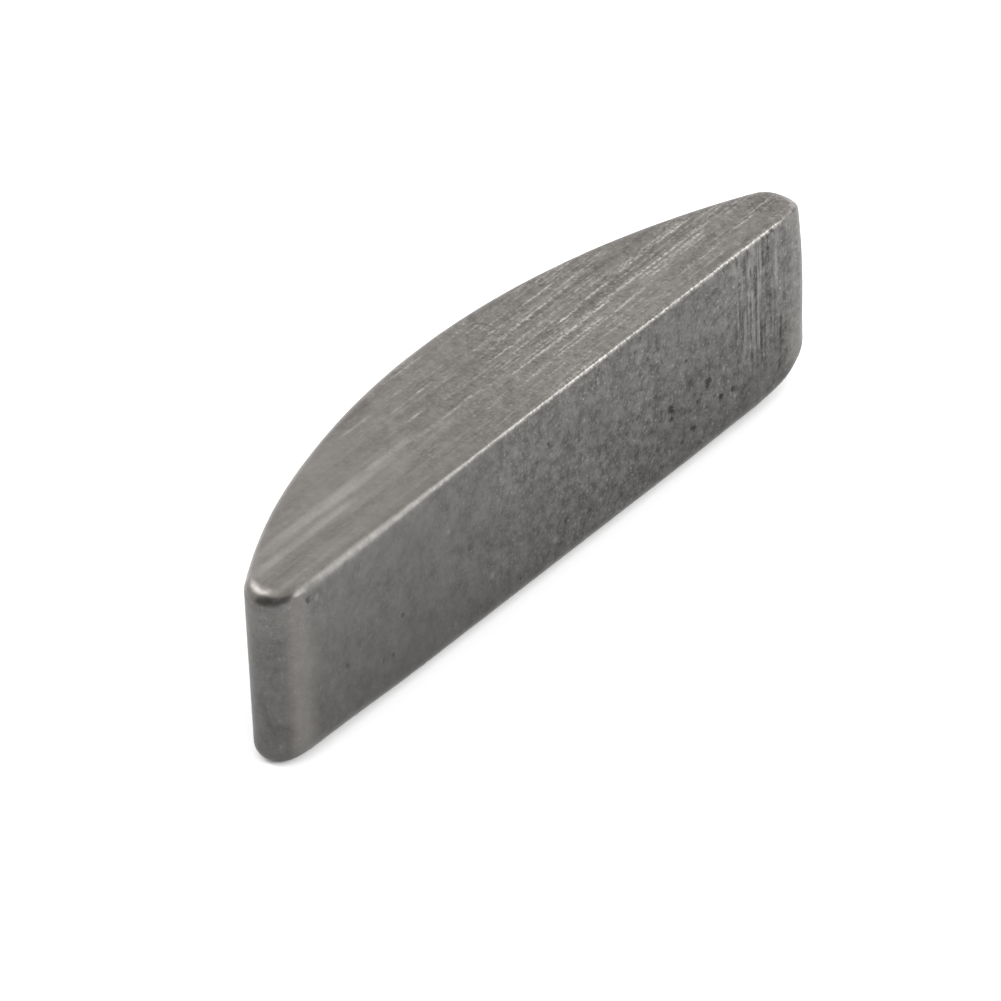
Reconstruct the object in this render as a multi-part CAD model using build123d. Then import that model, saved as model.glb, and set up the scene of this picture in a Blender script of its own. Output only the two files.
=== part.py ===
from build123d import *
from math import cos, radians, sin
import os

# A woodruff key is a segment of a disc. It lies here on one side face, in millimetres:
# its length runs along X, its height from the flat to the crown along Y, and its
# thickness, which fills the keyway, up Z. The origin is under the middle of the key.
key_length = 12.5
key_height = 2.5
key_thickness = 3.0

# Each end is a nose of two arcs. A gentle shoulder leads off the flat and turns by a few
# degrees, and a tight tip carries on to the end and round to the curved seat. The seat is
# one arc over the crown that both tips flow into, so its radius follows from the others.
tip_radius = 0.465
shoulder_radius = 2.0
shoulder_turn = 8.0

# Tumbling rounds every edge, a little more on the underside. The underside also rolls up
# at the +X tip, where the blanking punch dragged the metal down the tip's side.
top_edge_round = 0.15
under_edge_round = 0.2
roll_run = 1.55
roll_rise = 0.57

half_length = key_length / 2
flat_y = -key_height / 2
crown = Vector(0, key_height / 2)


def nose_centres():
    """Centres of the tip and the shoulder at the +X end, the tip touching the end plane."""
    between = shoulder_radius - tip_radius
    across = between * sin(radians(shoulder_turn))
    along = between * cos(radians(shoulder_turn))
    tip = Vector(half_length - tip_radius, flat_y + shoulder_radius - along)
    return tip, tip + Vector(-across, along)


def seat_centre(tip):
    """Centre of the seat's circle, which passes the crown and holds the tip's, touching it."""
    drop = crown.Y - tip.Y
    radius = (tip.X**2 + drop**2 - tip_radius**2) / (2 * (drop - tip_radius))
    return crown - Vector(0, radius)


def point_towards(centre, target, radius):
    """The point of a circle round centre that faces target."""
    return centre + (target - centre).normalized() * radius


def plan_outline():
    """The face seen from above: flat, shoulder, tip and half of the seat, and their mirror image."""
    tip, shoulder = nose_centres()
    seat = seat_centre(tip)
    seat_radius = crown.Y - seat.Y
    shoulder_end = point_towards(shoulder, tip, shoulder_radius)
    tip_end = point_towards(seat, tip, seat_radius)
    seat_middle = point_towards(seat, (tip_end + crown) / 2, seat_radius)
    with BuildSketch() as plan:
        with BuildLine():
            flat = Line((0, flat_y), (shoulder.X, flat_y))
            TangentArc(flat @ 1, shoulder_end, tangent=flat % 1)
            ThreePointArc(shoulder_end, tip + Vector(tip_radius, 0), tip_end)
            ThreePointArc(tip_end, seat_middle, crown)
            mirror(about=Plane.YZ)
        make_face()
    return plan.sketch.face()


def metal_under_roll():
    """What the roll takes away, as a slice under an arc that leaves the underside smoothly."""
    start = Vector(half_length - roll_run, 0)
    end = Vector(half_length, roll_rise)
    below = Vector(0, -roll_rise)
    with BuildSketch(Plane.XZ) as side_view:
        with BuildLine():
            rolled = TangentArc(start, end, tangent=(1, 0))
            clear_of_tip = end + (rolled % 1) * roll_run
            Polyline(end, clear_of_tip, (clear_of_tip.X, below.Y), start + below, start)
        make_face()
    return extrude(side_view.sketch, amount=key_height, both=True)


def underside_outline(body):
    """The edges where the underside, flat and rolled, meets the walls."""
    underside = [face for face in body.faces() if face.normal_at().Z < -0.5]
    edges = [edge for face in underside for edge in face.edges()]
    return [edge for edge in edges if edges.count(edge) == 1]


def woodruff_key():
    """The blank, with the rolled tip cut and both outlines rounded."""
    body = extrude(plan_outline(), key_thickness) - metal_under_roll()
    body = fillet(underside_outline(body), under_edge_round)
    top = body.faces().sort_by(Axis.Z)[-1]
    return fillet(top.edges(), top_edge_round)


os.makedirs("parts", exist_ok=True)
export_step(woodruff_key(), "parts/woodruff_key.step")
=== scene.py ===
import math

import bpy
from mathutils import Matrix, Vector, geometry, kdtree, noise


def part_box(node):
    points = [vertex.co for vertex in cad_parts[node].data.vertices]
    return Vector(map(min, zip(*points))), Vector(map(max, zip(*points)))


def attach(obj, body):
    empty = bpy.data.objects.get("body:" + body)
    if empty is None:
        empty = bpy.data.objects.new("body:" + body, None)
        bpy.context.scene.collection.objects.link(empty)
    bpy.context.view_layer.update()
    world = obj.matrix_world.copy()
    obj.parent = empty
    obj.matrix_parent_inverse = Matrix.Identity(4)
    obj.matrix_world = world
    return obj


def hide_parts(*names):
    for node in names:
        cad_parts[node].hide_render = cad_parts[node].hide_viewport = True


bl_info = {
    "name": "Woodruff key",
    "version": (1, 0, 0),
    "blender": (4, 5, 0),
    "location": "View3D > Sidebar > Key",
    "description": "Builds a tumbled steel woodruff key and the pale stage that it lies on",
    "category": "Object",
}

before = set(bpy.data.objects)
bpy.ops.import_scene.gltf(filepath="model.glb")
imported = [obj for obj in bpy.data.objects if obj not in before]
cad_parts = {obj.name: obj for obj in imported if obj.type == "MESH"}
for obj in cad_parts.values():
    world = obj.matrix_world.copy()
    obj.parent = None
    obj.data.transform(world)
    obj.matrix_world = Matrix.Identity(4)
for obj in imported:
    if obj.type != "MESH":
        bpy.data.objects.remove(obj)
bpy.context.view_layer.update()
low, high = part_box("woodruff_key")

MM = 0.001

# How finely the key's skin is meshed, in millimetres or steps. The top carries the fine
# grinding marks, so its net is tighter across the key than along it. The seat shows
# least, so only every few of the flat's columns go on round it.
WALL_STEP = 0.032
SEAT_COLUMNS = 3
SHOULDER_STEPS = 6
TIP_STEPS = 20
ROUND_STEPS = 8
WALL_ROWS = 88
TOP_NET = (0.05, 0.018)
UNDERSIDE_NET = (0.08, 0.05)

# How the tumbled rounds change along the key. Each change runs from one place to another, in
# millimetres, and adds that share of the round. Near the -X end the round over the flat grows,
# though less at the corner itself, and the one over the seat shrinks. The one under the flat
# is larger near both ends, and smaller at the rolled tip.
FLAT_ROUND_CHANGES = ((-1.0, -5.2, 1.7), (-5.3, -5.9, -1.02))
SEAT_ROUND_CHANGES = ((-2.6, -4.8, -0.36),)
UNDER_ROUND_CHANGES = ((-3.0, -5.4, 0.27), (3.0, 4.6, 0.135), (4.9, 5.6, -0.297))

# How far tumbling rubbed each part bright, from 0 to 1, where the edge over the flat is 1. That
# edge was rubbed in full at the rolled end only, and little or not at all at its two corners.
NEAR_NOSE_RUB, FAR_NOSE_RUB, SEAT_RUB = 0.75, 0.3, 0.2
NOSE_WALL_RUB, UNDER_EDGE_RUB = 0.35, 0.3
FLAT_RUB_CHANGES = ((-5.9, -5.4, 0.35), (-4.8, 1.0, 0.65), (5.4, 5.75, -0.7))

# The punch's drag left the rolled tip's wall bellied out, and hollow under the belly: how far,
# the belly's foot and height, and where along the key and up it both set in. In millimetres.
BELLY, BELLY_FOOT, BELLY_HEIGHT = 0.05, 1.2, 2.0
BELLY_ALONG, BELLY_UP = (4.5, 6.0), (0.0, 0.5)

# Sizes of the marks cut into the skin, in millimetres along, across and up the key. A mark
# hardly changes in a direction where its size is 9.
PEENING, WIDE_PEENING = (0.22, 0.22, 0.22), (0.8, 0.8, 0.8)
STREAKS, WIDE_STREAKS = (1.6, 0.07, 0.07), (4.0, 0.2, 0.2)
EDGE_WAVER, RAGGED_RIM = (0.14, 0.14, 0.14), (0.06, 0.06, 0.06)
LINE_WAVER, LINE_BREAKS = (9, 9, 0.5), (9, 9, 0.16)
STREAK_WAVER = (1.2, 9, 9)

# Painted light on the walls, as changes along the key: the near corner and the far nose are
# painted lighter for the light they catch there, both more towards the foot. Each with how light it
# is.
NEAR_CORNER, NEAR_CORNER_PAINTED_LIGHT = ((-6.15, -5.95, 1), (-5.85, -5.45, -1)), 0.20
FAR_NOSE, FAR_NOSE_PAINTED_LIGHT = ((5.45, 5.75, 1),), 0.33
SCUFF_POLISH = 0.3

# Where the punch dragged the flat, as changes along the key at this height. The drag leans by
# this much for each millimetre up, and sets in between these two heights.
DRAGGED = ((4.2, 4.55, 1), (4.9, 5.1, -0.45), (5.4, 5.6, -0.55))
DRAG_HEIGHT, DRAG_LEAN, DRAG_UP = 1.5, 0.05, (0.6, 1.3)

# How deep a pit or a drawn line is, in millimetres, where dirt fills it.
FILLED_PIT, FILLED_LINE = 0.013, 0.0055

# The softboxes. Each has its azimuth and elevation round the key in degrees, and its width in
# metres. All stand the same distance away. Their powers are settings of the view.
SOFT_BOXES = {
    "side_box": (100, 22, 0.28),
    "edge_box": (48, 32, 0.14),
    "front_box": (20, 20, 0.2),
    "back_box": (180, 45, 0.2),
    "nose_box": (204, 48, 0.14),
}
SOFT_BOX_DISTANCE = 0.4

# The dark room behind the camera, which the near tip reflects as a dark crescent: how far it
# reaches to the camera's left and right, in how many steps, and the section through its ground
# and wall, each point as the distance from the key and the height. In metres, as the floor is.
ROOM_LEFT, ROOM_RIGHT, ROOM_STEPS = math.radians(80), math.radians(60), 12
ROOM_PROFILE = ((0.05, 0.0005), (0.6, 0.0005), (0.6, 0.69))
FLOOR_REACH = 1.5

# The camera's sensor in millimetres, and how near and far it sees in metres.
SENSOR_WIDTH = 36
CAMERA_SEES = (0.01, 10)

# The pits on the flat that show at this size: along the key, height, radius, depth.
PITS = (
    (-5.65, 2.72, 0.060, 0.014),
    (-4.87, 1.12, 0.045, 0.006),
    (-4.07, 0.75, 0.040, 0.011),
    (-3.95, 1.03, 0.035, 0.010),
    (-3.85, 0.73, 0.040, 0.011),
    (-3.57, 1.27, 0.045, 0.011),
    (-0.86, 0.35, 0.035, 0.010),
    (-0.20, 0.41, 0.045, 0.011),
    (-0.06, 2.25, 0.045, 0.013),
    (0.18, 0.87, 0.035, 0.010),
    (0.23, 0.75, 0.045, 0.014),
    (0.78, 0.63, 0.035, 0.010),
    (1.23, 1.07, 0.035, 0.010),
    (2.03, 2.67, 0.040, 0.013),
    (2.31, 2.40, 0.045, 0.012),
    (2.40, 0.74, 0.040, 0.014),
    (2.46, 0.42, 0.040, 0.013),
    (2.55, 1.33, 0.035, 0.012),
    (2.77, 1.09, 0.060, 0.020),
    (2.78, 1.25, 0.085, 0.026),
    (2.99, 0.54, 0.045, 0.013),
    (3.18, 1.86, 0.050, 0.014),
    (3.25, 0.65, 0.075, 0.024),
    (3.39, 1.03, 0.045, 0.014),
    (3.50, 1.10, 0.040, 0.015),
    (3.65, 2.30, 0.035, 0.012),
    (3.66, 1.21, 0.075, 0.024),
    (3.74, 2.74, 0.035, 0.013),
    (3.79, 0.90, 0.035, 0.013),
    (3.93, 0.81, 0.055, 0.020),
    (4.21, 0.78, 0.050, 0.016),
)

# The lines that the punch drew down the flat near the +X end: top and bottom, each as the
# place along the key and the height, then half width and depth. In the last the flat ends.
DRAWN_LINES = (
    (4.22, 2.30, 4.20, 1.85, 0.018, 0.0020),
    (4.49, 1.10, 4.47, 0.62, 0.024, 0.0020),
    (4.51, 2.87, 4.47, 1.60, 0.026, 0.0040),
    (4.62, 2.75, 4.58, 2.00, 0.016, 0.0015),
    (4.78, 2.85, 4.68, 0.95, 0.026, 0.0045),
    (4.90, 2.60, 4.86, 0.95, 0.022, 0.0030),
    (4.98, 2.85, 4.95, 2.20, 0.020, 0.0025),
    (5.02, 1.60, 4.98, 0.80, 0.018, 0.0020),
    (5.34, 2.95, 5.33, 2.72, 0.024, 0.0035),
    (5.47, 2.45, 5.44, 1.45, 0.020, 0.0015),
    (5.43, 1.50, 5.32, 0.30, 0.036, 0.0040),
)

# The streaks on top that the grinding left brighter: from and to along the key, distance
# from the flat, half width and how bright.
BRIGHT_STREAKS = (
    (-5.50, -3.90, 1.03, 0.110, 0.26),
    (-4.20, -2.30, 1.02, 0.130, 0.22),
    (-2.95, -1.90, 1.06, 0.080, 0.28),
    (-1.80, -0.40, 0.97, 0.045, 0.34),
    (-5.70, -3.70, 0.78, 0.080, 0.20),
    (-3.70, -2.40, 0.62, 0.070, 0.12),
    (-2.45, -1.80, 1.90, 0.028, 0.36),
    (-1.20, -0.60, 1.93, 0.030, 0.30),
    (-1.60, -0.90, 1.67, 0.030, 0.25),
    (-1.60, -1.20, 1.34, 0.025, 0.40),
    (-1.30, -0.70, 0.97, 0.025, 0.40),
    (-0.90, -0.60, 1.69, 0.022, 0.70),
    (0.30, 2.00, 1.31, 0.018, 0.53),
    (0.20, 2.60, 0.83, 0.022, 0.72),
    (0.25, 1.05, 1.00, 0.018, 0.39),
    (0.30, 3.00, 0.57, 0.020, 0.58),
    (0.80, 2.60, 1.56, 0.018, 0.53),
    (0.85, 1.12, 1.75, 0.020, 0.90),
    (1.65, 2.02, 1.08, 0.022, 0.90),
    (2.10, 2.90, 1.13, 0.022, 0.65),
    (1.20, 3.30, 0.88, 0.030, 0.47),
    (0.60, 1.40, 0.91, 0.026, 0.47),
    (0.90, 2.40, 0.64, 0.018, 0.47),
    (1.60, 2.70, 1.79, 0.018, 0.67),
    (2.50, 3.15, 0.59, 0.020, 0.78),
    (2.40, 4.85, 0.88, 0.024, 0.83),
    (3.20, 3.50, 1.69, 0.022, 0.72),
    (3.20, 4.70, 1.20, 0.060, 0.59),
    (3.20, 4.80, 1.16, 0.020, 0.65),
    (3.45, 4.60, 1.24, 0.018, 0.53),
    (3.35, 4.70, 0.70, 0.020, 0.59),
    (3.20, 4.70, 0.79, 0.026, 0.68),
    (3.65, 4.50, 0.38, 0.020, 0.53),
    (4.85, 5.45, 0.44, 0.020, 0.78),
)

# Small places on the flat that are rubbed lighter: along the key, height, radius.
SCUFFS = (
    (-5.47, 2.67, 0.07),
    (-2.43, 2.07, 0.05),
    (-1.50, 0.77, 0.06),
    (-0.03, 0.55, 0.07),
    (4.28, 0.66, 0.08),
)


def linear(hex_colour):
    """An sRGB hex colour as the linear colour that Blender works in."""
    channels = [int(hex_colour[i:i + 2], 16) / 255 for i in (0, 2, 4)]
    curved = [c / 12.92 if c <= 0.04045 else ((c + 0.055) / 1.055) ** 2.4 for c in channels]
    return (*curved, 1.0)


def nominal(metres):
    """A size of the frame's solid to 0.01 mm. Its mesh falls a few microns short of the curves."""
    return round(metres, 5)


class KeySizes(bpy.types.PropertyGroup):
    """The key's own form. Its box comes from the frame."""

    length: bpy.props.FloatProperty(
        name="Length", description="Along the flat, tip to tip",
        default=nominal(high.x - low.x), unit="LENGTH", subtype="DISTANCE", precision=5)
    height: bpy.props.FloatProperty(
        name="Height", description="From the flat to the crown of the seat",
        default=nominal(high.y - low.y), unit="LENGTH", subtype="DISTANCE", precision=5)
    thickness: bpy.props.FloatProperty(
        name="Thickness", description="Between the two side faces",
        default=nominal(high.z - low.z), unit="LENGTH", subtype="DISTANCE", precision=5)
    tip_radius: bpy.props.FloatProperty(
        name="Tip radius", description="Tight arc at each end of the key",
        default=0.465 * MM, unit="LENGTH", subtype="DISTANCE", precision=5)
    shoulder_radius: bpy.props.FloatProperty(
        name="Shoulder radius", description="Gentle arc between the flat and the tip",
        default=2.0 * MM, unit="LENGTH", subtype="DISTANCE", precision=5)
    shoulder_turn: bpy.props.FloatProperty(
        name="Shoulder turn", description="How far the shoulder turns away from the flat",
        default=math.radians(8), unit="ROTATION", subtype="ANGLE")
    top_flat_round: bpy.props.FloatProperty(
        name="Top round, flat", description="Tumbled edge between the top and the flat",
        default=0.082 * MM, unit="LENGTH", subtype="DISTANCE", precision=5)
    top_nose_round: bpy.props.FloatProperty(
        name="Top round, noses", description="Tumbled edge over each end",
        default=0.30 * MM, unit="LENGTH", subtype="DISTANCE", precision=5)
    top_seat_round: bpy.props.FloatProperty(
        name="Top round, seat", description="Tumbled edge between the top and the seat",
        default=0.23 * MM, unit="LENGTH", subtype="DISTANCE", precision=5)
    under_flat_round: bpy.props.FloatProperty(
        name="Underside round, flat", description="Tumbled edge under the flat",
        default=0.28 * MM, unit="LENGTH", subtype="DISTANCE", precision=5)
    under_round: bpy.props.FloatProperty(
        name="Underside round, rest", description="Tumbled edge under the noses and the seat",
        default=0.20 * MM, unit="LENGTH", subtype="DISTANCE", precision=5)
    roll_run: bpy.props.FloatProperty(
        name="Roll run", description="Length of the underside that rolls up at one tip",
        default=1.55 * MM, unit="LENGTH", subtype="DISTANCE", precision=5)
    roll_rise: bpy.props.FloatProperty(
        name="Roll rise", description="How far that tip stands off the ground",
        default=0.57 * MM, unit="LENGTH", subtype="DISTANCE", precision=5)


class KeyWear(bpy.types.PropertyGroup):
    """Marks cut into the skin by grinding, blanking and tumbling."""

    streak_depth: bpy.props.FloatProperty(
        name="Streak depth", description="Grinding streaks along the side faces",
        default=0.0012 * MM, unit="LENGTH", subtype="DISTANCE", precision=6)
    peen_depth: bpy.props.FloatProperty(
        name="Peening depth", description="Shallow dents that tumbling leaves all over",
        default=0.0022 * MM, unit="LENGTH", subtype="DISTANCE", precision=6)
    edge_waver: bpy.props.FloatProperty(
        name="Edge waver", description="Unevenness of the tumbled edges",
        default=0.002 * MM, unit="LENGTH", subtype="DISTANCE", precision=6)


class KeyColours(bpy.types.PropertyGroup):
    """Colours of the steel and the stage."""

    side_face: bpy.props.FloatVectorProperty(
        name="Side faces", description="Ground and tumbled steel, slightly warm",
        default=linear("8e8a86"), size=4, subtype="COLOR", min=0, max=1)
    side_face_dark: bpy.props.FloatVectorProperty(
        name="Side faces, dull", description="Duller grain of the side faces",
        default=linear("403e3b"), size=4, subtype="COLOR", min=0, max=1)
    wall: bpy.props.FloatVectorProperty(
        name="Walls", description="Blanked and tumbled steel of the flat, noses and seat",
        default=linear("767472"), size=4, subtype="COLOR", min=0, max=1)
    wall_dark: bpy.props.FloatVectorProperty(
        name="Walls, dull", description="Darker grain of the walls",
        default=linear("282827"), size=4, subtype="COLOR", min=0, max=1)
    edge: bpy.props.FloatVectorProperty(
        name="Rubbed steel", description="Bright steel of streaks and rubbed edges",
        default=linear("b6b3ae"), size=4, subtype="COLOR", min=0, max=1)
    dirt: bpy.props.FloatVectorProperty(
        name="Dirt", description="Dark oxide left in pits and drawn lines",
        default=linear("1a1817"), size=4, subtype="COLOR", min=0, max=1)
    floor: bpy.props.FloatVectorProperty(
        name="Floor", description="Pale matt stage",
        default=linear("f6f6f6"), size=4, subtype="COLOR", min=0, max=1)
    studio: bpy.props.FloatVectorProperty(
        name="Studio", description="Soft light from all round",
        default=linear("ffffff"), size=4, subtype="COLOR", min=0, max=1)
    dark_room: bpy.props.FloatVectorProperty(
        name="Dark room", description="What only the steel reflects, behind the camera",
        default=linear("606060"), size=4, subtype="COLOR", min=0, max=1)


class StudioView(bpy.types.PropertyGroup):
    """Where the camera stands, and how strong the light is."""

    azimuth: bpy.props.FloatProperty(
        name="Azimuth", description="Camera's direction round the key",
        default=math.radians(-50.194), unit="ROTATION", subtype="ANGLE")
    elevation: bpy.props.FloatProperty(
        name="Elevation", description="Camera's height above the ground plane",
        default=math.radians(34.234), unit="ROTATION", subtype="ANGLE")
    roll: bpy.props.FloatProperty(
        name="Roll", description="Camera's turn about its own axis",
        default=math.radians(-3.512), unit="ROTATION", subtype="ANGLE")
    distance: bpy.props.FloatProperty(
        name="Distance", description="From the camera to the middle of the key",
        default=477.17 * MM, unit="LENGTH", subtype="DISTANCE")
    lens: bpy.props.FloatProperty(
        name="Lens", description="Focal length on a 36 mm sensor",
        default=1184.0, unit="CAMERA")
    aim_right: bpy.props.FloatProperty(
        name="Aim to the right",
        description="How far right of the key's middle the view is centred",
        default=0.2189 * MM, unit="LENGTH", subtype="DISTANCE", precision=5)
    aim_down: bpy.props.FloatProperty(
        name="Aim down", description="How far below the key's middle the view is centred",
        default=0.6165 * MM, unit="LENGTH", subtype="DISTANCE", precision=5)
    ambient: bpy.props.FloatProperty(
        name="Ambient", description="Strength of the light from all round",
        default=1.23, min=0)
    side_box: bpy.props.FloatProperty(
        name="Side softbox", description="Power of the low softbox off the +X tip, in watts",
        default=0.30, min=0)
    edge_box: bpy.props.FloatProperty(
        name="Edge softbox",
        description="Power of the small softbox that lights the front edge, in watts",
        default=0.25, min=0)
    front_box: bpy.props.FloatProperty(
        name="Front softbox", description="Power of the low softbox in front of the flat, in watts",
        default=1.32, min=0)
    back_box: bpy.props.FloatProperty(
        name="Back softbox", description="Power of the softbox behind the seat, in watts",
        default=0.28, min=0)
    nose_box: bpy.props.FloatProperty(
        name="Nose softbox",
        description="Power of the small softbox that the near nose reflects, in watts",
        default=0.32, min=0)


class Plan:
    """The key seen from above, in millimetres: a flat, two arcs at each nose, one seat arc."""

    def __init__(self, sizes):
        self.half = sizes.length / MM / 2
        self.flat_y = -sizes.height / MM / 2
        self.crown_y = sizes.height / MM / 2
        self.tip_radius = sizes.tip_radius / MM
        self.shoulder_radius = sizes.shoulder_radius / MM
        turn = Vector((math.sin(sizes.shoulder_turn), -math.cos(sizes.shoulder_turn)))
        between = (self.shoulder_radius - self.tip_radius) * turn
        tip_y = self.flat_y + self.shoulder_radius + between.y
        self.tip = Vector((self.half - self.tip_radius, tip_y))
        self.shoulder = self.tip - between
        self.shoulder_end = self.shoulder.x + self.shoulder_radius * turn.x
        drop = self.crown_y - self.tip.y
        self.seat_radius = ((self.tip.x**2 + drop**2 - self.tip_radius**2)
                            / (2 * (drop - self.tip_radius)))
        self.seat_y = self.crown_y - self.seat_radius
        reach = math.hypot(self.tip.x, self.tip.y - self.seat_y)
        self.seat_end = self.tip.x * self.seat_radius / reach

    def columns(self):
        """Places along the key where its front is meshed, from tip to tip."""
        flat_steps = round(self.shoulder.x / WALL_STEP)
        flat = [self.shoulder.x * i / flat_steps for i in range(flat_steps)]
        across = self.shoulder_end - self.shoulder.x
        shoulder = [self.shoulder.x + across * i / SHOULDER_STEPS for i in range(SHOULDER_STEPS)]
        start = math.acos((self.shoulder_end - self.tip.x) / self.tip_radius)
        turns = [start * (1 - i / TIP_STEPS) for i in range(TIP_STEPS + 1)]
        right = flat + shoulder + [self.tip.x + self.tip_radius * math.cos(a) for a in turns]
        return [-x for x in reversed(right[1:])] + right

    def front(self, x):
        """The point and outward normal of the flat, shoulder or tip at x."""
        side = math.copysign(1, x)
        if abs(x) <= self.shoulder.x:
            return Vector((x, self.flat_y)), Vector((0, -1))
        if abs(x) <= self.shoulder_end:
            return on_arc(side, self.shoulder, self.shoulder_radius, abs(x), -1)
        return on_arc(side, self.tip, self.tip_radius, abs(x), -1)

    def back(self, x):
        """The point and outward normal of the seat or tip at x."""
        side = math.copysign(1, x)
        if abs(x) <= self.seat_end:
            return on_arc(side, Vector((0, self.seat_y)), self.seat_radius, abs(x), 1)
        return on_arc(side, self.tip, self.tip_radius, abs(x), 1)

    def outline(self):
        """Points and normals once round, counter-clockwise from the left tip along the flat."""
        columns = self.columns()
        there = [self.front(x) for x in columns]
        back = [x for i, x in enumerate(reversed(columns[1:-1]))
                if i % SEAT_COLUMNS == 0 or abs(x) > self.tip.x]
        return there + [self.back(x) for x in back]


def on_arc(side, centre, radius, x, towards):
    """A point of an arc at x, below (-1) or above (+1) its centre, and its outward normal."""
    along = min(x - centre.x, radius)
    normal = Vector((along, towards * math.sqrt(max(radius**2 - along**2, 0)))) / radius
    point = centre + normal * radius
    return Vector((side * point.x, point.y)), Vector((side * normal.x, normal.y))


def shares(normal):
    """How much a wall that faces this way belongs to the flat, to a nose and to the seat."""
    flat, seat = max(-normal.y, 0) ** 2, max(normal.y, 0) ** 2
    return flat, 1 - flat - seat, seat


def smooth(edge0, edge1, value):
    """Rises smoothly from 0 at edge0 to 1 at edge1."""
    t = min(max((value - edge0) / (edge1 - edge0), 0), 1)
    return t * t * (3 - 2 * t)


def varied(base, changes, x):
    """A value along the key at x: the base, plus each change as far as it has come by there."""
    return base + sum(change * smooth(start, end, x) for start, end, change in changes)


def edge_rounds(sizes, x, flat, nose, seat):
    """Radii over and under the wall at x, in millimetres, by the wall's share of each part."""
    over = (flat * sizes.top_flat_round * varied(1, FLAT_ROUND_CHANGES, x)
            + nose * sizes.top_nose_round
            + seat * sizes.top_seat_round * varied(1, SEAT_ROUND_CHANGES, x))
    under = (flat * sizes.under_flat_round * varied(1, UNDER_ROUND_CHANGES, x)
             + (nose + seat) * sizes.under_round)
    return over / MM, under / MM


def underside_lift(sizes, x):
    """How far the rolled tip's underside stands off the ground at x, in millimetres."""
    run, rise = sizes.roll_run / MM, sizes.roll_rise / MM
    into_roll = x - (sizes.length / MM / 2 - run)
    if into_roll <= 0:
        return 0.0
    radius = (run**2 + rise**2) / (2 * rise)
    return radius - math.sqrt(radius**2 - into_roll**2)


def wall_profile(sizes, point, normal):
    """One strip of skin from the top face over its round, down the wall and under.

    Returns its points, how far tumbling has rubbed each one smooth, and how much each one
    belongs to the ground side faces.
    """
    thickness = sizes.thickness / MM
    flat, nose, seat = shares(normal)
    top, under = edge_rounds(sizes, point.x, flat, nose, seat)
    rub = flat + (NEAR_NOSE_RUB if point.x < 0 else FAR_NOSE_RUB) * nose + SEAT_RUB * seat
    wall_rub = NOSE_WALL_RUB * nose
    strip, rubbed, ground = [], [], []
    for i in range(ROUND_STEPS):
        turn = math.pi / 2 * i / ROUND_STEPS
        at = point - normal * top * (1 - math.sin(turn))
        strip.append((at.x, at.y, thickness - top * (1 - math.cos(turn))))
        rubbed.append(max(rub * math.sin(2 * turn) ** 0.5, wall_rub * math.sin(turn)))
        # The ground finish ends part way down the round, and sooner over the flat.
        ground.append(smooth(0.1 + 0.5 * flat, 0.5 + 0.4 * flat, math.cos(turn)))
    upper, lower = thickness - top, underside_lift(sizes, point.x) + under
    for i in range(WALL_ROWS):
        strip.append((point.x, point.y, upper + (lower - upper) * i / WALL_ROWS))
        rubbed.append(wall_rub)
        ground.append(0.0)
    for i in range(ROUND_STEPS + 1):
        turn = math.pi / 2 * i / ROUND_STEPS
        at = point - normal * under * (1 - math.cos(turn))
        strip.append((at.x, at.y, underside_lift(sizes, at.x) + under * (1 - math.sin(turn))))
        edge_rub = UNDER_EDGE_RUB * abs(math.sin(2 * turn))
        rubbed.append(max(wall_rub, edge_rub) * math.cos(turn / 2))
        ground.append(smooth(0.5, 0.9, math.sin(turn)))
    return strip, rubbed, ground


def net_inside(ring, step):
    """Points of a net with this step that lie well inside a closed ring of plan points."""
    tree = kdtree.KDTree(len(ring))
    for i, p in enumerate(ring):
        tree.insert((p[0], p[1], 0), i)
    tree.balance()
    lowest, highest = min(p[1] for p in ring), max(p[1] for p in ring)
    reach = max(p[0] for p in ring)
    found = []
    rows = int((highest - lowest) / step[1])
    columns = int(reach / step[0])
    for row in range(1, rows + 1):
        for column in range(-columns, columns + 1):
            x, y = column * step[0], lowest + row * step[1]
            near, index, gap = tree.find((x, y, 0))
            ahead = Vector(ring[(index + 1) % len(ring)][:2]) - Vector(ring[index - 1][:2])
            inwards = Vector((-ahead.y, ahead.x)).normalized()
            if (Vector((x, y)) - near.xy).dot(inwards) > step[1] * 0.6:
                found.append((x, y))
    return found


def is_inside(ring, x, y):
    """Whether a plan point lies inside a closed ring of points."""
    inside = False
    for here, there in zip(ring, ring[1:] + ring[:1]):
        if (here[1] > y) != (there[1] > y):
            crossing = here[0] + (there[0] - here[0]) * (y - here[1]) / (there[1] - here[1])
            inside ^= crossing > x
    return inside


def face_over(ring, step, height_at):
    """Fills a closed ring of skin points with a fine net: its new points and all its triangles.

    A triangle's corners are pairs: whether the corner is on the ring, and its place there or
    among the new points.
    """
    inside = net_inside(ring, step)
    count = len(ring)
    flat = [Vector(p[:2]) for p in ring] + [Vector(p) for p in inside]
    border = [(i, (i + 1) % count) for i in range(count)]
    points, _, faces, sources, _, _ = geometry.delaunay_2d_cdt(flat, border, [], 1, 1e-5, True)
    new, corner = [], []
    for point, source in zip(points, sources):
        if source and source[0] < count:
            corner.append((True, source[0]))
        else:
            corner.append((False, len(new)))
            new.append((point.x, point.y, height_at(point.x)))
    # The filling also spans the ring's hollows, from ring to ring. Those slivers are left out.
    kept = []
    for face in faces:
        middle = sum((points[i] for i in face), Vector((0, 0))) / len(face)
        if not all(corner[i][0] for i in face) or is_inside(ring, middle.x, middle.y):
            kept.append([corner[i] for i in face])
    return new, kept


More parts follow.
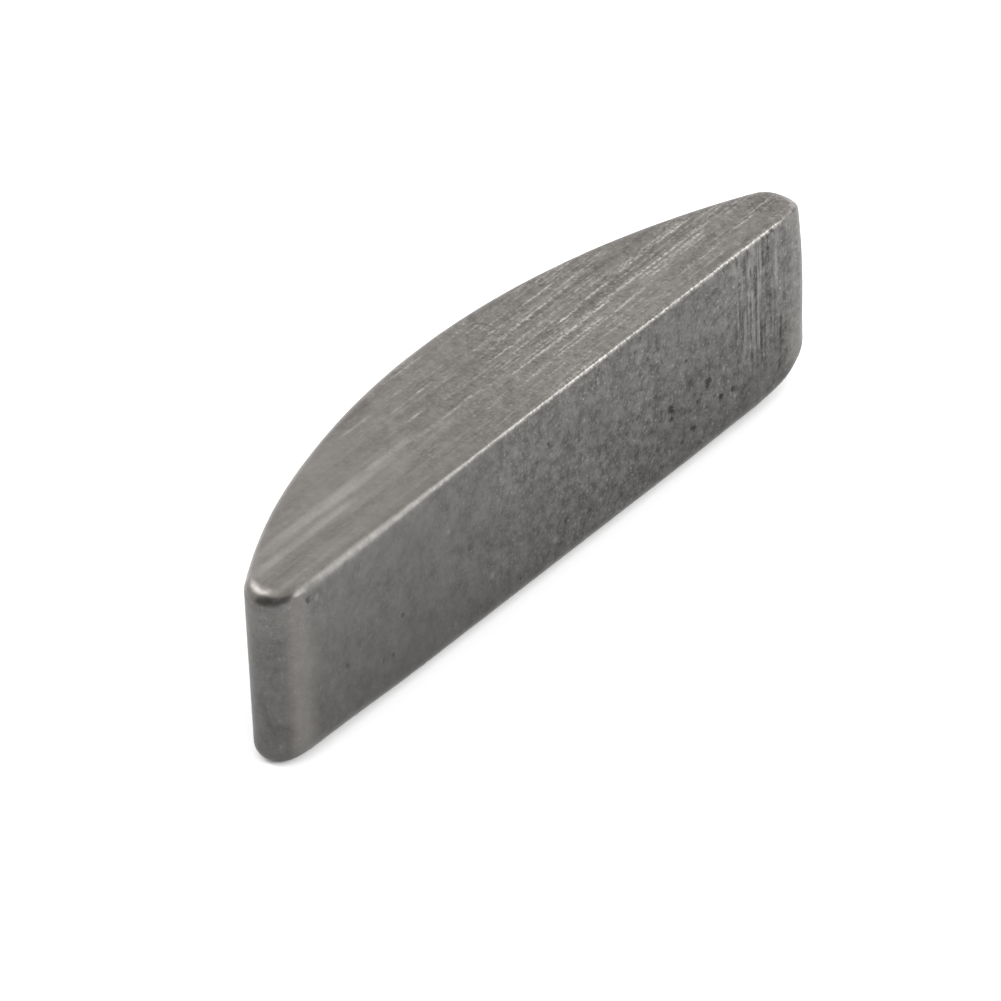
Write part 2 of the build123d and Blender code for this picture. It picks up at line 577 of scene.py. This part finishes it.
def key_skin(sizes):
    """The key's smooth skin in millimetres, before wear: points, faces, rub and ground shares."""
    outline = Plan(sizes).outline()
    profiles = [wall_profile(sizes, point, normal) for point, normal in outline]
    strips = [strip for strip, _, _ in profiles]
    around, down = len(strips), len(strips[0])
    points = [p for strip in strips for p in strip]
    rubbed = [value for _, rubs, _ in profiles for value in rubs]
    ground = [value for _, _, shares_ground in profiles for value in shares_ground]
    faces = []
    for i in range(around):
        here, there = i * down, (i + 1) % around * down
        for j in range(down - 1):
            faces.append((here + j, here + j + 1, there + j + 1, there + j))
    thickness = sizes.thickness / MM
    caps = (
        (0, TOP_NET, lambda x: thickness, False),
        (down - 1, UNDERSIDE_NET, lambda x: underside_lift(sizes, x), True),
    )
    for row, step, height_at, flipped in caps:
        new, triangles = face_over([strip[row] for strip in strips], step, height_at)
        offset = len(points)
        points += new
        rubbed += [0.0] * len(new)
        ground += [1.0] * len(new)
        for triangle in triangles:
            corners = [k * down + row if on_ring else offset + k for on_ring, k in triangle]
            faces.append(tuple(reversed(corners)) if flipped else tuple(corners))
    return points, faces, rubbed, ground


def pattern(point, scale, octaves=3, seed=0.0):
    """Smooth noise of about -1 to 1 whose waves are scale millimetres long on each axis."""
    at = Vector([place / size for place, size in zip(point, scale)])
    return noise.fractal(at + Vector((seed, seed, -seed)), 1.0, 2.0, octaves)


def pit_at(point):
    """Depth of the pits on the flat at this point, with ragged rims."""
    depth = 0.0
    for x, z, radius, deep in PITS:
        if abs(point[0] - x) < 2 * radius and abs(point[2] - z) < 2 * radius:
            ragged = 1 + 0.8 * pattern(point, RAGGED_RIM, 2, x)
            gap = math.hypot(point[0] - x, point[2] - z) / (1.15 * radius * max(ragged, 0.2))
            depth = max(depth, deep * (1 - smooth(0.0, 1.3, gap)))
    return depth


def drawn_line_at(point):
    """Depth of the drawn lines on the flat at this point. Each comes and goes down its length."""
    depth = 0.0
    for x_top, z_top, x_bottom, z_bottom, half_width, deep in DRAWN_LINES:
        along = (z_top - point[2]) / (z_top - z_bottom)
        middle = x_top + (x_bottom - x_top) * along + 0.015 * pattern(point, LINE_WAVER, 2, x_top)
        gap = abs(point[0] - middle) / half_width
        if gap < 1.4:
            patchy = min(max(0.9 + 1.1 * pattern(point, LINE_BREAKS, 3, x_top), 0), 1.4)
            ends = smooth(-0.05, 0.05, along) * (1 - smooth(0.85, 1.1, along))
            depth = max(depth, deep * patchy * ends * (1 - smooth(0.3, 1.4, gap)))
    return depth


def painted_light_and_scuffs_at(point):
    """How much lighter the walls are at this point: painted light near the tips, and rubbed scuffs.
    """
    x, height = point[0], point[2]
    # Painted light at the near corner and the far nose; the scuffs are real rubbed places.
    corner = varied(0, NEAR_CORNER, x) * (1.6 - 0.25 * height)
    nose = varied(0, FAR_NOSE, x) * (1 - 0.7 * smooth(0.7, 1.6, height))
    scuffs = max(1 - smooth(0.3, 1.2, math.hypot(x - scuff_x, height - z) / radius)
                 for scuff_x, z, radius in SCUFFS)
    return max(NEAR_CORNER_PAINTED_LIGHT * corner, FAR_NOSE_PAINTED_LIGHT * nose, SCUFF_POLISH * scuffs)


def streak_at(flat_y, point):
    """How bright the strong grinding streaks on top are at this point."""
    bright = 0.0
    x = point[0]
    for start, end, from_flat, half_width, strength in BRIGHT_STREAKS:
        soft = 5 * half_width
        if start - soft < x < end + soft:
            middle = flat_y + from_flat + 0.01 * pattern(point, STREAK_WAVER, 2, start)
            gap = abs(point[1] - middle) / half_width
            begun, ended = smooth(start - soft, start + soft, x), smooth(end - soft, end + soft, x)
            patchy = 0.8 + 0.9 * pattern(point, (12 * half_width, 9, 9), 2, end)
            shown = strength * begun * (1 - ended) * min(max(patchy, 0), 1.3)
            bright = max(bright, shown * (1 - smooth(0.3, 1.3, gap)))
    return bright


def drag_at(point):
    """How strongly the punch dragged this part of the flat, where fine lines run down it."""
    upright = point[0] - DRAG_LEAN * (point[2] - DRAG_HEIGHT)
    return varied(0, DRAGGED, upright) * smooth(*DRAG_UP, point[2])


def belly_at(point):
    """How far the rolled tip's wall stands out along the key at this point, or in below it."""
    out = math.sin(math.pi * (point[2] - BELLY_FOOT) / BELLY_HEIGHT)
    return BELLY * out * smooth(*BELLY_ALONG, point[0]) * smooth(*BELLY_UP, point[2])


def wear_at(wear, point, normal, rub):
    """How far wear moves this point of the skin along its normal, in millimetres."""
    side = abs(normal[2])
    peen = pattern(point, PEENING, 3) + 0.6 * pattern(point, WIDE_PEENING, 2, 4.0)
    streak = pattern(point, STREAKS, 3, 2.0) + 0.7 * pattern(point, WIDE_STREAKS, 2, 7.0)
    moved = wear.peen_depth * peen * (1 - 0.5 * side)
    moved += wear.streak_depth * streak * smooth(0.9, 1.0, side)
    moved += wear.edge_waver * rub * pattern(point, EDGE_WAVER, 3, 5.0)
    return moved / MM


def build_key(sizes, wear):
    """The worn key as one mesh in metres, with the marks that its finish reads."""
    points, faces, rubbed, ground = key_skin(sizes)
    mesh = bpy.data.meshes.new("key_steel")
    mesh.from_pydata(points, [], faces)
    mesh.update()
    flat_y = -sizes.height / MM / 2
    normals = [v.normal.copy() for v in mesh.vertices]
    marks = {name: [0.0] * len(points) for name in ("polished", "pitted", "streaked", "dragged")}
    for i, (vertex, normal) in enumerate(zip(mesh.vertices, normals)):
        at = vertex.co.copy()
        moved = wear_at(wear, at, normal, rubbed[i])
        if abs(normal.z) < 0.5:
            marks["polished"][i] = painted_light_and_scuffs_at(at)
        if normal.y < -0.8:
            pit, line = pit_at(at), drawn_line_at(at)
            moved -= pit + line
            marks["pitted"][i] = min(1.0, pit / FILLED_PIT + line / FILLED_LINE)
            marks["dragged"][i] = drag_at(at)
        elif normal.z > 0.9:
            marks["streaked"][i] = streak_at(flat_y, at)
        if normal.y < -0.3 and normal.z > 0.2:
            rubbed[i] *= varied(0, FLAT_RUB_CHANGES, at.x)
        vertex.co = (at + normal * moved + Vector((belly_at(at), 0, 0))) * MM
    marks.update(rubbed=rubbed, ground=ground)
    for name, values in marks.items():
        mesh.attributes.new(name, "FLOAT", "POINT").data.foreach_set("value", values)
    mesh.polygons.foreach_set("use_smooth", [True] * len(mesh.polygons))
    if mesh.validate():
        raise RuntimeError("The key's skin came out with broken faces")
    mesh.update()
    return mesh


def node(tree, kind, output, inputs, **settings):
    """Adds one node, sets it up, fills or links its inputs, and returns one of its outputs."""
    made = tree.nodes.new(kind)
    for name, value in settings.items():
        setattr(made, name, value)
    for name, value in inputs.items():
        if isinstance(value, bpy.types.NodeSocket):
            tree.links.new(value, made.inputs[name])
        else:
            made.inputs[name].default_value = value
    return made.outputs[output]


def waves(size_mm):
    """Noise scale, in waves to the metre, for marks this many millimetres wide."""
    return 1 / (size_mm * MM)


def tumbled_steel(colours):
    """Blanked carbon steel, side faces ground along the key, then tumbled with its edges rubbed.

    The eye sees dull grey metal full of fine light and dark grain, broken bright streaks
    along the side faces, dirt in pits and drawn lines, and edges that glint. The walls carry
    painted shade low down and painted light at the near corner and the far nose.
    """
    material = bpy.data.materials.new("blanked_ground_tumbled_steel")
    material.use_nodes = True
    tree = material.node_tree
    tree.nodes.clear()
    place = node(tree, "ShaderNodeTexCoord", "Object", {})
    along = node(tree, "ShaderNodeSeparateXYZ", "X", {"Vector": place})
    height = along.node.outputs["Z"]
    rubbed, ground, polished, pitted, streaked, dragged = (
        node(tree, "ShaderNodeAttribute", "Fac", {}, attribute_name=name)
        for name in ("rubbed", "ground", "polished", "pitted", "streaked", "dragged"))
    # Grinding draws marks out along the key, and the punch draws them down the flat.
    drawn = node(tree, "ShaderNodeMapping", "Vector", {"Vector": place, "Scale": (18, 1, 1)},
                 vector_type="TEXTURE")
    down = node(tree, "ShaderNodeMapping", "Vector",
                {"Vector": place, "Scale": (1, 1, 14), "Rotation": (0, math.radians(2.7), 0)},
                vector_type="TEXTURE")
    # The marks, each with its width in millimetres, its finer octaves and their strength.
    # Tumbled grain is 5 to 20 microns across, finer than a pixel, so its clusters are drawn.
    grain, specks, hairs, bands, clouds, lines, patches = (
        node(tree, "ShaderNodeTexNoise", "Fac",
             {"Vector": where, "Scale": waves(width), "Detail": octaves, "Roughness": strength})
        for where, width, octaves, strength in (
            (place, 0.15, 4.0, 0.75),  # grain
            (place, 0.045, 1.0, 0.5),  # specks
            (drawn, 0.06, 1.0, 0.5),   # hairs of the grinding
            (drawn, 0.30, 3.0, 0.6),   # bands of the grinding
            (place, 0.60, 3.0, 0.6),   # clouds
            (down, 0.075, 1.5, 0.6),   # lines drawn by the punch
            (place, 1.3, 2.0, 0.5)))   # patches of clearer grain
    # What those and the skin's own marks give: read from one value to another, it goes from
    # the first amount to the second.
    patchy, above, painted_shade_by_height, bright_specks, bright_hairs, edges, rough, worn = (
        node(tree, "ShaderNodeMapRange", "Result",
             {"Value": value, "From Min": first, "From Max": last, "To Min": least, "To Max": most})
        for value, first, last, least, most in (
            (patches, 0.35, 0.65, 0.75, 1.15),          # grain comes and goes in patches
            (height, 0.5 * MM, 1.6 * MM, 0.72, 1.0),    # and is fainter low on the walls
            (height, 0.4 * MM, 2.4 * MM, -0.45, 0.65),  # painted shade: darker low on the walls, lighter high up
            (specks, 0.64, 0.80, 0.0, 0.3),
            (hairs, 0.55, 0.70, 0.0, 0.42),
            (rubbed, 0.55, 1.0, 0.0, 0.3),
            (rubbed, 0.0, 1.0, 0.44, 0.25),             # rubbed edges are smoother
            (rubbed, 0.4, 1.0, 1.0, 0.2)))              # and their relief is worn off
    # The rolled end took more knocks, so the grain is clear there and faint at the other.
    faint = 0.27
    knocks = node(tree, "ShaderNodeMapRange", "Result",
                  {"Value": along, "From Min": -3.3 * MM, "From Max": 0.9 * MM,
                   "To Min": faint, "To Max": 1.0}, interpolation_type="SMOOTHSTEP")
    uneven = node(tree, "ShaderNodeMath", "Value", {0: patchy, 1: above}, operation="MULTIPLY")
    clear = node(tree, "ShaderNodeMath", "Value", {0: knocks, 1: uneven}, operation="MULTIPLY")
    clear_ground = node(tree, "ShaderNodeMath", "Value", {0: clear, 1: ground},
                        operation="MULTIPLY")
    # Each kind of mark is centred on nought and weighed by how much of it this place has.
    # Grinding took part of the grain off the side faces.
    level = 0.0
    for mark, weight, where in (
            (grain, 1.5, clear), (grain, -0.5, clear_ground), (specks, 0.5, clear),
            (bands, 0.7, ground), (clouds, 0.4, 1.0), (lines, 2.0, dragged),
            # The painted shade by height darkens the low walls and lightens the high ones.
            (painted_shade_by_height, 0.12, 1.0), (knocks, -0.08, ground)):
        shown = node(tree, "ShaderNodeMath", "Value", {0: mark, 1: weight, 2: -weight / 2},
                     operation="MULTIPLY_ADD")
        level = node(tree, "ShaderNodeMath", "Value", {0: shown, 1: where, 2: level},
                     operation="MULTIPLY_ADD")
    share = node(tree, "ShaderNodeMath", "Value", {0: level, 1: 0.5}, operation="ADD")
    dull = node(tree, "ShaderNodeMix", 2,
                {0: ground, 6: colours.wall_dark, 7: colours.side_face_dark}, data_type="RGBA")
    bright = node(tree, "ShaderNodeMix", 2, {0: ground, 6: colours.wall, 7: colours.side_face},
                  data_type="RGBA")
    grained = node(tree, "ShaderNodeMix", 2, {0: share, 6: dull, 7: bright}, data_type="RGBA")
    # Painted light at the near corner and the far nose, and rubbed scuffs, lighten the walls to the
    # side faces' tone.
    body = node(tree, "ShaderNodeMix", 2, {0: polished, 6: grained, 7: colours.side_face},
                data_type="RGBA")
    # Bare bright steel shows in fine hairs and strong streaks along the side faces, in sparse
    # specks, and along rubbed edges. The knocks broke it into dashes.
    ground_hairs = node(tree, "ShaderNodeMath", "Value", {0: bright_hairs, 1: clear_ground},
                        operation="MULTIPLY")
    sparse = node(tree, "ShaderNodeMath", "Value", {0: ground_hairs, 1: bright_specks},
                  operation="ADD")
    marked = node(tree, "ShaderNodeMath", "Value", {0: sparse, 1: clear, 2: streaked},
                  operation="MULTIPLY_ADD")
    bare = node(tree, "ShaderNodeMath", "Value", {0: edges, 1: clear, 2: marked},
                operation="MULTIPLY_ADD")
    whole = node(tree, "ShaderNodeMapRange", "Result",
                 {"Value": knocks, "From Min": faint, "From Max": 1.0,
                  "To Min": 0.9, "To Max": 0.15})
    broken = node(tree, "ShaderNodeMapRange", "Result",
                  {"Value": specks, "From Min": 0.35, "From Max": 0.60,
                   "To Min": whole, "To Max": 1.0})
    glint = node(tree, "ShaderNodeMath", "Value", {0: bare, 1: broken}, operation="MULTIPLY")
    shiny = node(tree, "ShaderNodeMix", 2, {0: glint, 6: body, 7: colours.edge},
                 data_type="RGBA")
    # The dirt's rim follows the grain.
    ragged = node(tree, "ShaderNodeMath", "Value", {0: grain, 1: -0.9, 2: pitted},
                  operation="MULTIPLY_ADD")
    dirty = node(tree, "ShaderNodeMapRange", "Result",
                 {"Value": ragged, "From Min": -0.3, "From Max": 0.5,
                  "To Min": 0.0, "To Max": 0.75})
    colour = node(tree, "ShaderNodeMix", 2, {0: dirty, 6: shiny, 7: colours.dirt},
                  data_type="RGBA")
    relief = node(tree, "ShaderNodeMath", "Value", {0: level, 1: clear}, operation="MULTIPLY")
    bump = node(tree, "ShaderNodeBump", "Normal",
                {"Height": relief, "Strength": worn, "Distance": 0.002 * MM})
    shader = node(tree, "ShaderNodeBsdfPrincipled", "BSDF",
                  {"Base Color": colour, "Metallic": 1.0, "Roughness": rough, "Normal": bump})
    tree.links.new(shader, tree.nodes.new("ShaderNodeOutputMaterial").inputs["Surface"])
    return material


def plain(name, colour):
    """A matt stage paint."""
    material = bpy.data.materials.new(name)
    material.use_nodes = True
    shader = material.node_tree.nodes["Principled BSDF"]
    shader.inputs["Base Color"].default_value = colour
    shader.inputs["Roughness"].default_value = 1.0
    shader.inputs["Specular IOR Level"].default_value = 0.0
    return material


class KEY_OT_build(bpy.types.Operator):
    """Builds the steel key in the place of the plain solid"""

    bl_idname = "woodruff.build_key"
    bl_label = "Build the key"

    def execute(self, context):
        scene = context.scene
        mesh = build_key(scene.key_sizes, scene.key_wear)
        mesh.materials.append(tumbled_steel(scene.key_colours))
        key = bpy.data.objects.new("key_steel", mesh)
        scene.collection.objects.link(key)
        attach(key, "root")
        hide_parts("woodruff_key")
        return {"FINISHED"}


def direction(azimuth, elevation):
    """The way from the key towards something at these angles in radians, round it and above it."""
    level = math.cos(elevation)
    return Vector((math.sin(azimuth) * level, -math.cos(azimuth) * level, math.sin(elevation)))


def soft_box(scene, name, azimuth, elevation, width, power):
    """A square softbox that faces the key, its angles in degrees and its power in watts."""
    light = bpy.data.lights.new(name, "AREA")
    light.shape = "SQUARE"
    light.size = width
    light.energy = power
    lamp = bpy.data.objects.new(name, light)
    towards = direction(math.radians(azimuth), math.radians(elevation))
    lamp.location = towards * SOFT_BOX_DISTANCE
    lamp.rotation_euler = towards.to_track_quat("Z", "Y").to_euler()
    lamp.visible_camera = False
    scene.collection.objects.link(lamp)


def stage_piece(scene, name, corners, faces, colour):
    """A plain piece of the stage."""
    mesh = bpy.data.meshes.new(name)
    mesh.from_pydata(corners, [], faces)
    mesh.materials.append(plain(name + "_paint", colour))
    piece = bpy.data.objects.new(name, mesh)
    scene.collection.objects.link(piece)
    return piece


def dark_room(scene, view, colour):
    """The dark room behind the camera, a curved wall and its ground. Only the steel sees it."""
    start, turn = view.azimuth - ROOM_LEFT, ROOM_LEFT + ROOM_RIGHT
    corners = []
    for i in range(ROOM_STEPS + 1):
        outwards = direction(start + turn * i / ROOM_STEPS, 0)
        corners += [outwards * reach + Vector((0, 0, rise)) for reach, rise in ROOM_PROFILE]
    across = len(ROOM_PROFILE)
    faces = [(across * i + j, across * i + j + 1, across * (i + 1) + j + 1, across * (i + 1) + j)
             for i in range(ROOM_STEPS) for j in range(across - 1)]
    room = stage_piece(scene, "dark_room", corners, faces, colour)
    room.visible_camera = room.visible_diffuse = room.visible_shadow = False


def lay_floor(scene, colour):
    """The pale floor, level with the key's underside."""
    reach = FLOOR_REACH
    corners = [(-reach, -reach, 0), (reach, -reach, 0), (reach, reach, 0), (-reach, reach, 0)]
    stage_piece(scene, "floor", corners, [(0, 1, 2, 3)], colour)


def studio_light(scene, view, colour):
    """Soft light from all round and the softboxes."""
    world = bpy.data.worlds.new("studio")
    world.use_nodes = True
    scene.world = world
    sky = world.node_tree.nodes["Background"]
    sky.inputs["Color"].default_value = colour
    sky.inputs["Strength"].default_value = view.ambient
    for name, (azimuth, elevation, width) in SOFT_BOXES.items():
        soft_box(scene, name, azimuth, elevation, width, getattr(view, name))


def view_axes(view):
    """The camera's right, up and backward directions, roll included."""
    back = direction(view.azimuth, view.elevation)
    level = Vector((math.cos(view.azimuth), math.sin(view.azimuth), 0))
    right = Matrix.Rotation(view.roll, 3, back) @ level
    return right, back.cross(right), back


def place_camera(scene, view):
    """The camera at the photograph's angle, with the key framed as it is there."""
    right, up, back = view_axes(view)
    middle = Vector((0, 0, scene.key_sizes.thickness / 2))
    aim = middle + right * view.aim_right - up * view.aim_down
    camera = bpy.data.objects.new("camera", bpy.data.cameras.new("camera"))
    camera.location = middle + back * view.distance
    backwards = (camera.location - aim).normalized()
    across = (right - backwards * right.dot(backwards)).normalized()
    turned = Matrix((across, backwards.cross(across), backwards)).transposed()
    camera.rotation_euler = turned.to_euler()
    camera.data.sensor_width = SENSOR_WIDTH
    camera.data.lens = view.lens
    camera.data.clip_start, camera.data.clip_end = CAMERA_SEES
    scene.collection.objects.link(camera)
    scene.camera = camera


class KEY_OT_stage(bpy.types.Operator):
    """Lays the pale floor and sets up the soft light and the camera"""

    bl_idname = "woodruff.stage"
    bl_label = "Set the stage"

    def execute(self, context):
        scene = context.scene
        view, colours = scene.studio_view, scene.key_colours
        lay_floor(scene, colours.floor)
        dark_room(scene, view, colours.dark_room)
        studio_light(scene, view, colours.studio)
        place_camera(scene, view)
        scene.view_settings.view_transform = "Standard"
        return {"FINISHED"}


class KEY_PT_panel(bpy.types.Panel):
    """Sizes, wear, colours and light of the woodruff key"""

    bl_label = "Woodruff key"
    bl_idname = "KEY_PT_panel"
    bl_space_type = "VIEW_3D"
    bl_region_type = "UI"
    bl_category = "Key"

    def draw(self, context):
        for group in (context.scene.key_sizes, context.scene.key_wear,
                      context.scene.key_colours, context.scene.studio_view):
            box = self.layout.box()
            for name in group.__annotations__:
                box.prop(group, name)
        self.layout.operator(KEY_OT_build.bl_idname)
        self.layout.operator(KEY_OT_stage.bl_idname)


GROUPS = {
    "key_sizes": KeySizes,
    "key_wear": KeyWear,
    "key_colours": KeyColours,
    "studio_view": StudioView,
}
TOOLS = (KEY_OT_build, KEY_OT_stage, KEY_PT_panel)


def register():
    """Adds the settings, the two tools and the panel to Blender."""
    for name, group in GROUPS.items():
        bpy.utils.register_class(group)
        setattr(bpy.types.Scene, name, bpy.props.PointerProperty(type=group))
    for tool in TOOLS:
        bpy.utils.register_class(tool)


def unregister():
    """Takes them all out again."""
    for tool in reversed(TOOLS):
        bpy.utils.unregister_class(tool)
    for name, group in reversed(GROUPS.items()):
        delattr(bpy.types.Scene, name)
        bpy.utils.unregister_class(group)


def main():
    """Registers the add-on and builds everything in order."""
    register()
    bpy.ops.woodruff.build_key()
    bpy.ops.woodruff.stage()


if __name__ == "__main__":
    main()
